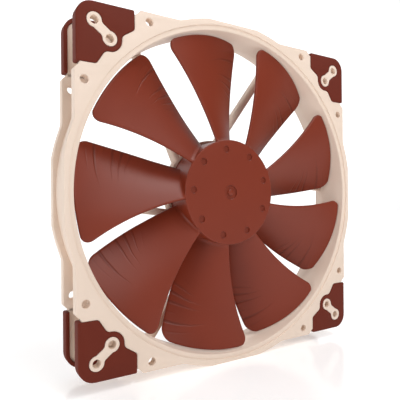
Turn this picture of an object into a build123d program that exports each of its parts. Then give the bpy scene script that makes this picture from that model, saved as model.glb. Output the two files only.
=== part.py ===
from build123d import *
import os
from math import cos, radians, sin, sqrt

# Case fan, 200 mm class, 30 mm deep, standing upright with its rotation axis along Y.
# The origin is on the rotation axis at mid depth. +X is right and +Z is up, seen from the
# intake side, which faces -Y. Heights called h are measured from mid depth towards the
# intake side, so h = -y. All sizes are in millimetres.

# ---- Overall sizes -------------------------------------------------------------------
frame_depth = 30.0            # over the corner pads
ring_span = 200.0             # over the flats of the round ring
half_span = ring_span / 2

# ---- Frame moulding ------------------------------------------------------------------
pad_proud = 0.4               # the pads stand this far out of the flange faces
front_flange = 5.5
rear_flange = 5.0
edge_step = 5.0               # from a ring flat in to the straight flange edge
ring_bulge = 1.5              # height of the full circle over its four flats
ring_wall = 4.8               # from a ring flat in to the throat of the duct
tube_wall = 3.2               # duct wall between the flanges
lip_band = 2.8                # width of the recessed band round the intake
lip_depth = 0.8
lip_round = 0.8
flare_width = 3.2             # the outlet opens by this much at the rear face
flare_height = 10.6
edge_chamfer = 3.2            # end of a straight flange edge beside a pad
edge_gap = 0.4
flange_face = frame_depth / 2 - pad_proud
square_half = half_span - edge_step
ring_radius = half_span + ring_bulge
bore_radius = half_span - ring_wall
tube_radius = bore_radius + tube_wall
lip_radius = bore_radius + lip_band
flare_radius = bore_radius + flare_width

# ---- Screw patterns, given as half spacings -----------------------------------------
screw_radius = 2.15
outer_corner_inset = 15.0     # 170 x 170 pattern
corner_step = 8.0             # to the 154 x 154 pattern
side_inset = 10.0             # 180 x 110 and 110 x 180 patterns
side_short = 55.0
outer_corner = half_span - outer_corner_inset
inner_corner = outer_corner - corner_step
side_long = half_span - side_inset

# ---- Corner pads ---------------------------------------------------------------------
pad_inset = 0.8               # from the straight flange edge in to the pad's outer edge
pad_length = 30.6
pad_corner_round = 8.5
pad_thickness = 6.7
pad_cap = 3.2                 # cap over the flange corner, below it is only the skirt
pad_skirt = 2.1
pad_fit = 0.1
pad_inner_margin = 6.5        # pad material round the inner screw hole, towards the ring
pad_step = 2.5
pad_end_width = 7.0
pad_inner_round = 6.6
pad_hollow_round = 3.0
pad_tip_round = 2.0
boss_wall = 1.7
boss_waist = 4.6
boss_hollow_round = 2.5
boss_fit = 0.12
boss_root = 1.0               # the bosses reach this far into the flange plate
pad_outer = square_half - pad_inset
pad_end = pad_outer - pad_length
edge_end = pad_end - edge_gap - edge_chamfer
boss_radius = screw_radius + boss_wall

# ---- Impeller ------------------------------------------------------------------------
blade_count = 9
first_blade = 20.0            # direction of the first blade, from +X towards +Z
tip_clearance = 1.0
tip_round = 6.4
blade_thickness = 1.9
blade_camber = 0.06           # share of the chord
blade_stations = 6
blade_overlength = 2.0        # trimmed off by the outline
# Laws of the blade's two edges: value at the hub, then its growth with the share of the
# way to the tip and with the square of that share. Angles in degrees, heights from the
# hub's face for the leading edge and from its skirt for the trailing edge.
leading_angle_law = (7.5, 8.0, 1.9)
trailing_angle_law = (-23.8, 8.3, -1.5)
leading_h_law = (-1.1, -2.6, 3.2)
trailing_h_law = (4.3, -14.5, 17.6)
hub_radius = 31.75
hub_wall = 2.0
hub_recess = 4.1              # the hub's face lies this far behind the flange face
hub_face_thickness = 1.8
hub_round = 1.2
dimple_inset = 5.55
dimple_radius = 2.1
dimple_depth = 0.4
first_dimple = 17.0
centre_dimple_radius = 4.35
nub_radius = 1.0
tip_radius = bore_radius - tip_clearance
dimple_circle = hub_radius - dimple_inset

# ---- Struts and motor base -----------------------------------------------------------
strut_count = 6
strut_offset = 16.0           # distance of each strut's centre line from the axis
strut_angle = 143.0           # direction of the foot point of the first strut
strut_width = 4.5
strut_depth = 6.0
strut_round = 1.8
strut_inset = 0.1             # the struts end inside the duct wall
base_margin = 1.75            # the base is this much larger than the hub
base_wall = 2.2
base_floor = 1.8
base_height = 6.0
skirt_gap = 0.6
label_recess = 0.4
label_inset = 5.5
label_thickness = 0.2
label_fit = 0.3
socket_wall = 1.83
outlet_width = 4.0            # cable outlet through the wall of the base
outlet_height = 2.8
base_radius = hub_radius + base_margin
label_radius = base_radius - label_inset

# ---- Motor ---------------------------------------------------------------------------
press_fit = 0.02              # radial play left in a pressed joint
slip_fit = 0.1
running_fit = 0.03            # radial clearance of the shaft in its bush
air_gap = 0.6
shaft_radius = 1.5
shaft_chamfer = 0.3
end_play = 0.4
groove_below_bush = 1.0
groove_width = 0.6
groove_depth = 0.3
clip_radius = 2.6
bush_radius = 3.55
bush_above_floor = 3.8
bush_below_rim = 1.2
tube_thickness = 1.4
tube_below_boss = 2.0
thrust_thickness = 0.6
cap_thickness = 0.9
seal_thickness = 0.5
seal_clearance = 0.3
yoke_thickness = 1.0
yoke_in_skirt = 1.0
magnet_thickness = 3.1
magnet_in_yoke = 0.7
magnet_below_top = 1.3
core_inset = 2.8              # the stack is this much shorter than the magnet at each end
core_ring_radius = 8.5
tooth_count = 4
tooth_width = 5.0
shoe_thickness = 3.3
shoe_span = 76.0              # degrees
insulator_thickness = 2.0
insulator_margin = 0.8        # the insulator is this much wider than the tooth
insulator_lip = 1.6           # flange that keeps the coil on its tooth
insulator_collar = 1.6
coil_gap = 1.2                # between the insulator's hub and the coil
coil_width = 4.0
coil_height = 1.4
coil_round = 1.3
component_room = 3.0          # between the base floor and the board
board_inset = 0.75
board_thickness = 1.2
pin_circle = 8.0
pin_radius = 0.35
pin_end = 0.8
chip_size = (3.9, 4.9, 1.5)   # across, up and out of the board, as for the other components
chip_spot = (-17, -6)
passive_size = (2.0, 1.25, 0.6)
passive_spots = ((14, -12), (17.5, -8), (14, 10), (-12, 13), (-15, -15))
capacitor_size = (3.2, 2.5, 2.2)
capacitor_spot = (20, 3)
sensor_size = (3.0, 1.6, 1.2)
boss_flange_radius = 6.5
boss_neck_radius = 3.9
boss_flange = 1.4
boss_in_hub = 0.6             # the boss's neck stands this far into the hub's face
boss_blind = 0.4

base_inner_h = base_floor - flange_face
base_top_h = base_height - flange_face
label_h = label_recess - flange_face
hub_face_h = flange_face - hub_recess
hub_skirt_h = base_top_h + skirt_gap
hub_inside_h = hub_face_h - hub_face_thickness
hub_inner = hub_radius - hub_wall
bearing_tube_inner = bush_radius + press_fit
bearing_tube_outer = bearing_tube_inner + tube_thickness
socket_radius = bearing_tube_outer + socket_wall
board_radius = hub_inner - board_inset
board_low_h = base_inner_h + component_room
board_high_h = board_low_h + board_thickness
yoke_outer = hub_inner - slip_fit
yoke_top_h = hub_inside_h - slip_fit
yoke_inside_h = yoke_top_h - yoke_thickness
yoke_skirt_h = hub_skirt_h + yoke_in_skirt
magnet_outer = yoke_outer - yoke_thickness - slip_fit
magnet_inner = magnet_outer - magnet_thickness
magnet_low_h = yoke_skirt_h + magnet_in_yoke
magnet_high_h = yoke_inside_h - magnet_below_top
core_middle_h = (magnet_low_h + magnet_high_h) / 2
core_half = (magnet_high_h - magnet_low_h) / 2 - core_inset
core_radius = magnet_inner - air_gap
insulator_width = tooth_width + 2 * insulator_margin
insulator_half = core_half + insulator_thickness
boss_low_h = yoke_inside_h - boss_flange
tube_top_h = boss_low_h - tube_below_boss
bush_high_h = tube_top_h - bush_below_rim
bush_low_h = base_inner_h + bush_above_floor
groove_h = bush_low_h - groove_below_bush
groove_radius = shaft_radius - groove_depth
cap_top_h = label_h + cap_thickness
thrust_top_h = cap_top_h + thrust_thickness
shaft_end_h = thrust_top_h + end_play

section = Plane(origin=(0, 0, 0), x_dir=(1, 0, 0), z_dir=(0, 0, -1))   # local (radius, h)


def front(h):
    """Plane at height h, seen from the intake side: local x is X and local y is Z."""
    return Plane.XZ.offset(h)


def ring_points(inner, outer, low, high):
    return [(inner, low), (outer, low), (outer, high), (inner, high)]


def export(piece, name):
    piece.part.label = name
    export_step(piece.part, f"parts/{name}.step")


def turned(points):
    """A solid of revolution about the fan's axis from (radius, h) corner points."""
    with BuildPart() as piece:
        with BuildSketch(section):
            with BuildLine():
                Polyline(*points, close=True)
            make_face()
        revolve(axis=Axis.Y)
    return piece


# ---- Frame ---------------------------------------------------------------------------
def flange_sketch():
    """Outline shared by both flanges: square edges, round ring, stepped pad corners."""
    half = square_half
    seat = pad_outer - pad_skirt
    with BuildSketch() as outline:
        Circle(ring_radius)
        Rectangle(ring_span, ring_span, mode=Mode.INTERSECT)
        with BuildLine():
            Polyline((0, half), (edge_end, half), (edge_end + edge_chamfer, seat), (seat, seat))
            Polyline((seat, seat), (seat, edge_end + edge_chamfer), (half, edge_end), (half, 0))
            Polyline((half, 0), (0, 0), (0, half))
        make_face()
        mirror(about=Plane.YZ)
        mirror(about=Plane.XZ)
        corners = outline.vertices().filter_by(lambda v: abs(abs(v.X) - seat) < 0.01)
        corners = corners.filter_by(lambda v: abs(abs(v.Y) - seat) < 0.01)
        fillet(corners, radius=pad_corner_round - pad_skirt)
    return outline.sketch


def pad_sketch(margin=0.0):
    """Footprint of the top right pad: stepped towards the ring, round at the outside."""
    inner = inner_corner - pad_inner_margin
    step = inner_corner + pad_step
    far = inner_corner + pad_end_width
    with BuildSketch() as footprint:
        with BuildLine():
            Polyline((pad_end, pad_outer), (pad_end, far), (inner, step), (inner, inner),
                     (step, inner), (far, pad_end), (pad_outer, pad_end),
                     (pad_outer, pad_outer), close=True)
        make_face()
        points = footprint.vertices()
        fillet(points.sort_by_distance((pad_outer, pad_outer))[0:1], radius=pad_corner_round)
        fillet(footprint.vertices().sort_by_distance((inner, inner))[0:1],
               radius=pad_inner_round)
        for spot in ((inner, step), (step, inner)):
            fillet(footprint.vertices().sort_by_distance(spot)[0:1], radius=pad_hollow_round)
        for spot in ((pad_end, far), (far, pad_end)):
            fillet(footprint.vertices().sort_by_distance(spot)[0:1], radius=pad_tip_round)
        if margin:
            offset(amount=margin)
    return footprint.sketch


def boss_sketch(margin=0.0):
    """Bone-shaped boss round the two corner screw holes of the top right corner."""
    middle = (outer_corner + inner_corner) / 2
    length = corner_step * sqrt(2)
    with BuildSketch() as bone:
        with Locations((outer_corner, outer_corner), (inner_corner, inner_corner)):
            Circle(boss_radius + margin)
        with Locations(Location((middle, middle, 0), 45)):
            Rectangle(length, boss_waist + 2 * margin)
        fillet(bone.vertices(), radius=boss_hollow_round)
    return bone.sketch


def corner_signs():
    return [(1, 1), (-1, 1), (-1, -1), (1, -1)]


def four_corners(shape):
    """Copies of a top right sketch mirrored into all four corners."""
    for side, height in corner_signs():
        copy = shape if side > 0 else shape.mirror(Plane.YZ)
        add(copy if height > 0 else copy.mirror(Plane.XZ))


def strut_solid():
    with BuildPart() as bars:
        with BuildSketch(front(-flange_face)):
            with PolarLocations(strut_offset, strut_count, start_angle=strut_angle):
                Rectangle(strut_width, 2 * tube_radius, align=(Align.CENTER, Align.MAX))
            Circle(tube_radius - strut_inset, mode=Mode.INTERSECT)
            Circle(base_radius - base_wall / 2, mode=Mode.SUBTRACT)
        extrude(amount=strut_depth)
        crowns = bars.edges().group_by(Axis.Y)[0].filter_by(GeomType.LINE)
        fillet(crowns, radius=strut_round)
    return bars.part


def base_solid():
    wall_inner = base_radius - base_wall
    socket_inner = bearing_tube_outer + press_fit
    with BuildPart() as base:
        with BuildSketch(section):
            with BuildLine():
                Polyline((socket_inner, label_h), (label_radius + label_fit, label_h),
                         (label_radius + label_fit, -flange_face), (base_radius, -flange_face),
                         (base_radius, base_top_h), (wall_inner, base_top_h), (wall_inner, base_inner_h),
                         (socket_radius, base_inner_h), (socket_radius, board_low_h),
                         (socket_inner, board_low_h), close=True)
            make_face()
        revolve(axis=Axis.Y)
    return base.part


def build_frame():
    outline = flange_sketch()
    lip_inner = bore_radius + lip_round
    lip_h = flange_face - lip_depth
    with BuildPart() as frame:
        for low, thickness in ((flange_face - front_flange, front_flange),
                               (-flange_face, rear_flange)):
            with BuildSketch(front(low)):
                add(outline)
            extrude(amount=thickness)
        with BuildSketch(front(-flange_face)):
            Circle(tube_radius)
        extrude(amount=2 * flange_face)
        with BuildSketch(section):
            with BuildLine():
                Polyline((0, -flange_face), (flare_radius, -flange_face))
                Line((flare_radius, -flange_face), (bore_radius, flare_height - flange_face))
                Line((bore_radius, flare_height - flange_face), (bore_radius, lip_h - lip_round))
                RadiusArc((bore_radius, lip_h - lip_round), (lip_inner, lip_h), lip_round)
                Polyline((lip_inner, lip_h), (lip_radius, lip_h), (lip_radius, flange_face),
                         (0, flange_face), (0, -flange_face))
            make_face()
        revolve(axis=Axis.Y, mode=Mode.SUBTRACT)
        for low in (flange_face - pad_cap, -flange_face):
            with BuildSketch(front(low)):
                four_corners(pad_sketch(pad_fit))
            extrude(amount=pad_cap, mode=Mode.SUBTRACT)
        for low in (flange_face - pad_cap - boss_root, -frame_depth / 2):
            with BuildSketch(front(low)):
                four_corners(boss_sketch())
            extrude(amount=pad_proud + pad_cap + boss_root)
        with BuildSketch(front(-frame_depth / 2)):
            for across, up in ((outer_corner, outer_corner), (inner_corner, inner_corner),
                               (side_long, side_short), (side_short, side_long)):
                with GridLocations(2 * across, 2 * up, 2, 2):
                    Circle(screw_radius)
        extrude(amount=frame_depth, mode=Mode.SUBTRACT)
        add(strut_solid())
        add(base_solid())
        with BuildSketch(front(base_inner_h)):
            with Locations((0, -base_radius)):
                Rectangle(outlet_width, 3 * base_wall)
        extrude(amount=outlet_height, mode=Mode.SUBTRACT)
    export(frame, "frame")


def build_pads():
    skirt_low = frame_depth / 2 - pad_thickness
    seat = pad_outer - pad_skirt + pad_fit
    with BuildPart() as pad:
        with BuildSketch(front(skirt_low)):
            add(pad_sketch())
            RectangleRounded(2 * seat, 2 * seat, pad_corner_round - pad_skirt, mode=Mode.SUBTRACT)
        extrude(amount=pad_thickness)
        with BuildSketch(front(flange_face - pad_cap + pad_fit / 2)):
            add(pad_sketch())
            add(boss_sketch(boss_fit), mode=Mode.SUBTRACT)
        extrude(amount=pad_proud + pad_cap - pad_fit / 2)
    for face in ("front", "rear"):
        for side, height in corner_signs():
            shape = pad.part
            shape = shape if side > 0 else shape.mirror(Plane.YZ)
            shape = shape if height > 0 else shape.mirror(Plane.XY)
            shape = shape if face == "front" else shape.mirror(Plane.XZ)
            with BuildPart() as corner_pad:
                add(shape)
            row = "top" if height > 0 else "bottom"
            end = "right" if side > 0 else "left"
            export(corner_pad, f"pad_{face}_{row}_{end}")


# ---- Impeller ------------------------------------------------------------------------
def share(radius):
    """How far a radius lies along the blade: 0 at the hub and 1 at the tip."""
    return (radius - hub_radius) / (tip_radius - hub_radius)


def law(terms, radius):
    start, linear, square = terms
    return start + linear * share(radius) + square * share(radius) ** 2


def leading_angle(radius):
    return law(leading_angle_law, radius)


def trailing_angle(radius):
    return law(trailing_angle_law, radius)


def leading_h(radius):
    return hub_face_h + law(leading_h_law, radius)


def trailing_h(radius):
    return hub_skirt_h + law(trailing_h_law, radius)


def edge_point(distance, angle_of, h_of):
    """Where a blade edge crosses the plane at this distance along the blade's centre line."""
    radius = distance
    for _ in range(20):
        radius = distance / cos(radians(angle_of(radius)))
    return Vector(radius * sin(radians(angle_of(radius))), h_of(radius))


def polar(radius, angle):
    return (radius * cos(radians(angle)), radius * sin(radians(angle)))


def blade_section(distance):
    """Cambered plate across the blade, a little longer than the finished blade."""
    lead = edge_point(distance, leading_angle, leading_h)
    trail = edge_point(distance, trailing_angle, trailing_h)
    along = (lead - trail).normalized()
    across = Vector(-along.Y, along.X)
    chord = (lead - trail).length
    lead, trail = lead + along * blade_overlength, trail - along * blade_overlength
    middle = (lead + trail) / 2 + across * blade_camber * chord
    half = across * blade_thickness / 2
    across_blade = Plane(origin=(distance, 0, 0), x_dir=(0, 0, 1), z_dir=(1, 0, 0))
    with BuildSketch(across_blade) as profile:
        with BuildLine():
            ThreePointArc(trail + half, middle + half, lead + half)
            Line(lead + half, lead - half)
            ThreePointArc(lead - half, middle - half, trail - half)
            Line(trail - half, trail + half)
        make_face()
    return profile.sketch.face()


def planform_sketch():
    """Blade outline seen along the axis, with rounded tip corners."""
    root = hub_radius - hub_wall / 2
    radii = [root + (tip_radius - root) * i / 4 for i in range(5)]
    lead = [polar(r, leading_angle(r)) for r in radii]
    trail = [polar(r, trailing_angle(r)) for r in radii]
    middle_angle = (leading_angle(tip_radius) + trailing_angle(tip_radius)) / 2
    with BuildSketch(front(-flange_face)) as planform:
        with BuildLine():
            Spline(*lead)
            ThreePointArc(lead[-1], polar(tip_radius, middle_angle), trail[-1])
            Spline(*reversed(trail))
            ThreePointArc(trail[0], polar(root, middle_angle), lead[0])
        make_face()
        for corner in (lead[-1], trail[-1]):
            fillet(planform.vertices().sort_by_distance(corner)[0:1], radius=tip_round)
    return planform.sketch


def build_impeller():
    first, last = hub_inner - 2 * hub_wall, tip_radius + blade_overlength
    pitch = (last - first) / (blade_stations - 1)
    stations = [first + i * pitch for i in range(blade_stations)]
    with BuildPart() as blade:
        loft([blade_section(d) for d in stations])
        extrude(planform_sketch(), amount=2 * flange_face, mode=Mode.INTERSECT)
    with BuildPart() as impeller:
        with BuildSketch(section) as cup:
            with BuildLine():
                Polyline((0, hub_inside_h), (hub_inner, hub_inside_h), (hub_inner, hub_skirt_h),
                         (hub_radius, hub_skirt_h), (hub_radius, hub_face_h), (0, hub_face_h),
                         close=True)
            make_face()
            fillet(cup.vertices().sort_by_distance((hub_radius, hub_face_h))[0:1], radius=hub_round)
        revolve(axis=Axis.Y)
        with BuildSketch(front(hub_face_h - dimple_depth)):
            with PolarLocations(dimple_circle, blade_count, start_angle=first_dimple):
                Circle(dimple_radius)
            Circle(centre_dimple_radius)
            Circle(nub_radius, mode=Mode.SUBTRACT)
        extrude(amount=dimple_depth, mode=Mode.SUBTRACT)
        with BuildSketch(front(hub_inside_h)):
            Circle(boss_neck_radius + press_fit)
        extrude(amount=boss_in_hub + slip_fit, mode=Mode.SUBTRACT)
        for k in range(blade_count):
            add(blade.part, rotation=(0, -first_blade - k * 360 / blade_count, 0))
    export(impeller, "impeller")


# ---- Rotor pieces inside the hub -----------------------------------------------------
def build_rotor_pieces():
    inner = yoke_outer - yoke_thickness
    hole = boss_neck_radius + press_fit
    below = yoke_inside_h
    export(turned([(hole, below), (inner, below), (inner, yoke_skirt_h),
                   (yoke_outer, yoke_skirt_h), (yoke_outer, yoke_top_h),
                   (hole, yoke_top_h)]), "rotor_yoke")
    export(turned(ring_points(magnet_inner, magnet_outer, magnet_low_h, magnet_high_h)),
           "ring_magnet")
    bore = shaft_radius + press_fit
    top = hub_inside_h + boss_in_hub
    blind = top - boss_blind
    export(turned([(bore, boss_low_h), (boss_flange_radius, boss_low_h),
                   (boss_flange_radius, below - press_fit), (boss_neck_radius, below - press_fit),
                   (boss_neck_radius, top), (0, top), (0, blind), (bore, blind)]), "shaft_boss")
    low, high = groove_h - groove_width / 2, groove_h + groove_width / 2
    export(turned([(0, shaft_end_h), (shaft_radius - shaft_chamfer, shaft_end_h),
                   (shaft_radius, shaft_end_h + shaft_chamfer), (shaft_radius, low), (groove_radius, low),
                   (groove_radius, high), (shaft_radius, high), (shaft_radius, blind - press_fit),
                   (0, blind - press_fit)]), "shaft")
    with BuildPart() as clip:
        with BuildSketch(front(low + press_fit)):
            Circle(clip_radius)
            Circle(groove_radius + press_fit, mode=Mode.SUBTRACT)
            with Locations((clip_radius, 0)):
                Rectangle(2 * clip_radius, groove_radius, mode=Mode.SUBTRACT)
        extrude(amount=groove_width - 2 * press_fit)
    export(clip, "retaining_clip")


# ---- Bearing -------------------------------------------------------------------------
def build_bearing():
    export(turned(ring_points(bearing_tube_inner, bearing_tube_outer, label_h, tube_top_h)),
           "bearing_tube")
    export(turned(ring_points(shaft_radius + running_fit, bush_radius, bush_low_h, bush_high_h)),
           "bearing_bush")
    export(turned(ring_points(0, bush_radius, label_h, cap_top_h)), "bearing_cap")
    export(turned(ring_points(0, bush_radius, cap_top_h, thrust_top_h)), "thrust_disc")
    export(turned(ring_points(shaft_radius + seal_clearance, bush_radius, bush_high_h,
                              bush_high_h + seal_thickness)), "oil_seal_washer")


# ---- Stator --------------------------------------------------------------------------
def tooth_angles():
    return [45 + k * 360 / tooth_count for k in range(tooth_count)]


def spokes(width, reach):
    """One straight bar for each tooth, from the axis out to the given radius."""
    for angle in tooth_angles():
        with Locations(Location((0, 0, 0), angle)):
            Rectangle(reach, width, align=(Align.MIN, Align.CENTER))


def shoe_ring(inner, outer):
    """Arc-shaped shoes at the ends of the teeth, with slots between them."""
    slot = 2 * outer * sin(radians((360 / tooth_count - shoe_span) / 2))
    with BuildSketch(mode=Mode.PRIVATE) as shoes:
        Circle(outer)
        Circle(inner, mode=Mode.SUBTRACT)
        for k in range(tooth_count):
            with Locations(Location((0, 0, 0), k * 360 / tooth_count)):
                Rectangle(outer + 1, slot, align=(Align.MIN, Align.CENTER), mode=Mode.SUBTRACT)
    add(shoes.sketch)


def build_stator():
    bore = bearing_tube_outer + press_fit
    shoe_inner = core_radius - shoe_thickness
    lip_inner = shoe_inner - insulator_lip
    with BuildPart() as core:
        with BuildSketch(front(core_middle_h - core_half)):
            Circle(core_ring_radius)
            spokes(tooth_width, core_radius - shoe_thickness / 2)
            shoe_ring(shoe_inner, core_radius)
            Circle(bore, mode=Mode.SUBTRACT)
        extrude(amount=2 * core_half)
    export(core, "stator_core")
    for name, low in (("stator_insulator_front", core_middle_h + core_half),
                      ("stator_insulator_rear", core_middle_h - insulator_half)):
        with BuildPart() as insulator:
            with BuildSketch(front(low)):
                Circle(core_ring_radius + insulator_margin)
                spokes(insulator_width, shoe_inner)
                shoe_ring(lip_inner, shoe_inner - press_fit)
                Circle(bore, mode=Mode.SUBTRACT)
            extrude(amount=insulator_thickness)
            if name.endswith("rear"):
                with BuildSketch(front(board_high_h)):
                    Circle(bore + insulator_collar)
                    Circle(bore, mode=Mode.SUBTRACT)
                extrude(amount=low - board_high_h)
        export(insulator, name)
    window_h = insulator_half + slip_fit
    window = insulator_width / 2 + slip_fit
    coil_half = window + coil_width
    coil_start = core_ring_radius + insulator_margin + coil_gap
    coil_end = sqrt((lip_inner - slip_fit) ** 2 - coil_half ** 2)
    for k, angle in enumerate(tooth_angles()):
        with BuildPart() as coil:
            with BuildSketch(Plane.YZ.offset(coil_start)):
                RectangleRounded(2 * (window_h + coil_height), 2 * coil_half, coil_round)
                Rectangle(2 * window_h, 2 * window, mode=Mode.SUBTRACT)
            extrude(amount=coil_end - coil_start)
        with BuildPart() as placed:
            add(coil.part.moved(Pos(0, -core_middle_h, 0)), rotation=(0, -angle, 0))
        export(placed, f"coil_{k + 1}")


def build_board():
    with BuildPart() as board:
        with BuildSketch(front(board_low_h)):
            Circle(board_radius)
            Circle(bearing_tube_outer + slip_fit, mode=Mode.SUBTRACT)
            with PolarLocations(pin_circle, tooth_count):
                Circle(pin_radius + slip_fit, mode=Mode.SUBTRACT)
        extrude(amount=board_thickness)
    export(board, "circuit_board")
    with BuildPart() as pins:
        with BuildSketch(front(board_low_h - pin_end)):
            with PolarLocations(pin_circle, tooth_count):
                Circle(pin_radius)
        extrude(amount=core_middle_h - insulator_half - board_low_h + pin_end)
    export(pins, "terminal_pins")
    sensor_spot = (0, (magnet_inner + magnet_outer) / 2)
    for name, size, spots, face_h, out in (
            ("driver_chip", chip_size, [chip_spot], board_low_h, -1),
            ("chip_components", passive_size, passive_spots, board_low_h, -1),
            ("smoothing_capacitor", capacitor_size, [capacitor_spot], board_low_h, -1),
            ("hall_sensor", sensor_size, [sensor_spot], board_high_h, 1)):
        with BuildPart() as component:
            with BuildSketch(front(face_h)):
                with Locations(*spots):
                    Rectangle(size[0], size[1])
            extrude(amount=out * size[2])
        export(component, name)
    with BuildPart() as label:
        with BuildSketch(front(label_h - label_thickness)):
            Circle(label_radius)
        extrude(amount=label_thickness)
    export(label, "rear_label")


os.makedirs("parts", exist_ok=True)
build_frame()
build_pads()
build_impeller()
build_rotor_pieces()
build_bearing()
build_stator()
build_board()
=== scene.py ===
# %% [markdown]
# A case fan, built as a lesson. The fan has three visible makings: a beige moulded frame with
# round duct and leaning struts, a brown moulded impeller of nine blades on a hub, and eight
# soft silicone pads on the frame's corners. The motor inside keeps its engineering shapes.
# Everything is in metres: +X right, +Z up and the rotation axis along Y, intake side to -Y.

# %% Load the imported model
import math

import bmesh
import bpy
from mathutils import Matrix, Vector


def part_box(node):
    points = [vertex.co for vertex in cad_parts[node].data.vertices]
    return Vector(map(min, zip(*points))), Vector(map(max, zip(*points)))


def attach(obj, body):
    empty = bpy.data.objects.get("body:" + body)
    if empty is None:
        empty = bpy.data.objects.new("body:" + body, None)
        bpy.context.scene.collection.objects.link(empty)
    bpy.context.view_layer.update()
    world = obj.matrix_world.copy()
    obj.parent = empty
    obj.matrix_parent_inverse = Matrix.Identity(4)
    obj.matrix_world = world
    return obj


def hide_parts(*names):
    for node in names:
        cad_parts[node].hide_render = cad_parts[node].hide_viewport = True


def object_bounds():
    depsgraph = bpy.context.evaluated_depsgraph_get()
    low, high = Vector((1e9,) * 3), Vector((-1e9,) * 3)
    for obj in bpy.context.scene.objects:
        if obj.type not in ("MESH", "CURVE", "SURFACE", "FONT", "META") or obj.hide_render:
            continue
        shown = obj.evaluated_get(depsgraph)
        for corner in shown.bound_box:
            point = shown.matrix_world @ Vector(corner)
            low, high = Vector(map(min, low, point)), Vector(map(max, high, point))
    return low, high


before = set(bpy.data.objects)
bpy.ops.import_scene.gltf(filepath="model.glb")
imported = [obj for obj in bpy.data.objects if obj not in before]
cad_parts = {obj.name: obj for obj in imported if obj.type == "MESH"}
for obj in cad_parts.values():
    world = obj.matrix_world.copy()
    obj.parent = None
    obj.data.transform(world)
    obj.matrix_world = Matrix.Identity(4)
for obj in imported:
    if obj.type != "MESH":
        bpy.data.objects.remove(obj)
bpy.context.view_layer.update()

MM = 0.001

# %% [markdown]
# The camera comes first, because every later choice is judged through it. It looks at the
# intake side from the left, about 27 cm away, at the height of the hub.

# %% Camera
def aim(position, yaw, pitch, roll):
    """A matrix for an object that looks along its own -Z, turned by three angles in degrees."""
    yaw, pitch, roll = (math.radians(a) for a in (yaw, pitch, roll))
    ahead = math.cos(pitch)
    forward = Vector((math.sin(yaw) * ahead, math.cos(yaw) * ahead, math.sin(pitch)))
    level = Vector((math.cos(yaw), -math.sin(yaw), 0))
    upright = level.cross(forward)
    right = math.cos(roll) * level + math.sin(roll) * upright
    up = math.cos(roll) * upright - math.sin(roll) * level
    turn = Matrix((right, up, -forward)).transposed().to_4x4()
    return Matrix.Translation(position) @ turn


scene = bpy.context.scene
camera = bpy.data.objects.new("camera", bpy.data.cameras.new("camera"))
scene.collection.objects.link(camera)
camera.data.lens = 38.5
camera.data.sensor_width = 36.0
camera.data.clip_start = 0.01
camera.matrix_world = aim(Vector((-0.1507, -0.2216, -0.0051)), yaw=31.34, pitch=0.13, roll=-0.47)
scene.camera = camera
print("camera lens", camera.data.lens)

# %% [markdown]
# Measures of the visible parts, in millimetres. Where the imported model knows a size, it is
# read from there, so the looks stay on the part.

# %% Measures
def span(node):
    """Lowest and highest corner of a node, in millimetres."""
    low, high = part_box(node)
    return [v / MM for v in low], [v / MM for v in high]


RING_HALF = span("frame")[1][0]
DEPTH_HALF = span("frame")[1][1]
PAD_LOW, PAD_HIGH = span("pad_front_top_right")
PAD_OUTER = PAD_HIGH[0]
PAD_END = PAD_LOW[0]
PAD_THICKNESS = PAD_HIGH[1] - PAD_LOW[1]
FACE = DEPTH_HALF - 0.4
SQUARE_HALF = RING_HALF - 5.0
BORE = RING_HALF - 4.8
LIP = BORE + 2.8
TUBE = BORE + 3.2
SEAT = PAD_OUTER - 2.1
CORNER = RING_HALF - 15.0
INNER = CORNER - 8.0
SIDE = RING_HALF - 10.0
SIDE_SHORT = 55.0
SCREW = 2.15
BOSS_WALL = 1.7
BOSS_WAIST = 2.3
PAD_CAP = 3.2
FRONT_FLANGE = 5.5
REAR_FLANGE = 5.0
print("ring", RING_HALF, "depth", DEPTH_HALF, "pad", PAD_END, PAD_OUTER)

# %% [markdown]
# Every material is made from nodes. One function adds a node, sets its options and feeds its
# inputs: a socket is linked and anything else becomes the input's value. The colour mixing node
# has three pairs of inputs with the same names, so its colours go in by number: 6 is A, 7 is B
# and output 2 is the mixed colour.

# %% Helpers for node trees
def add(tree, kind, feeds=None, **settings):
    """Adds a node. feeds maps an input's name or number to a socket or a value."""
    node = tree.nodes.new(kind)
    for key, value in settings.items():
        setattr(node, key, value)
    for key, value in (feeds or {}).items():
        if isinstance(value, bpy.types.NodeSocket):
            tree.links.new(value, node.inputs[key])
        else:
            node.inputs[key].default_value = value
    return node


def rgb(hex_colour):
    """sRGB hex to the linear colour that shaders use."""
    parts = [int(hex_colour[i:i + 2], 16) / 255 for i in (0, 2, 4)]
    linear = [p / 12.92 if p <= 0.04045 else ((p + 0.055) / 1.055) ** 2.4 for p in parts]
    return (*linear, 1.0)


def start_material(name, **values):
    """A material with a Principled shader; values are set on the shader's own sockets."""
    material = bpy.data.materials.new(name)
    material.use_nodes = True
    shader = material.node_tree.nodes["Principled BSDF"]
    for key, value in values.items():
        shader.inputs[key.replace("_", " ")].default_value = value
    return material, material.node_tree, shader


print("helpers ready")

# %% [markdown]
# The frame is glass-filled polyester, injection moulded in a spark-eroded tool. That gives a
# dry, even, faintly grainy skin. The grain is about 0.2 mm on the real part; it is drawn at
# 0.5 mm so that a render shows it. Broad, faint clouds of tone come from the flowing melt. Fibre
# and pigment dull the skin's mirror part, so the specular level is below the usual 0.5. The
# silicone of the pads is softer, duller and darker, with a silicone's lower IOR.

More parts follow.
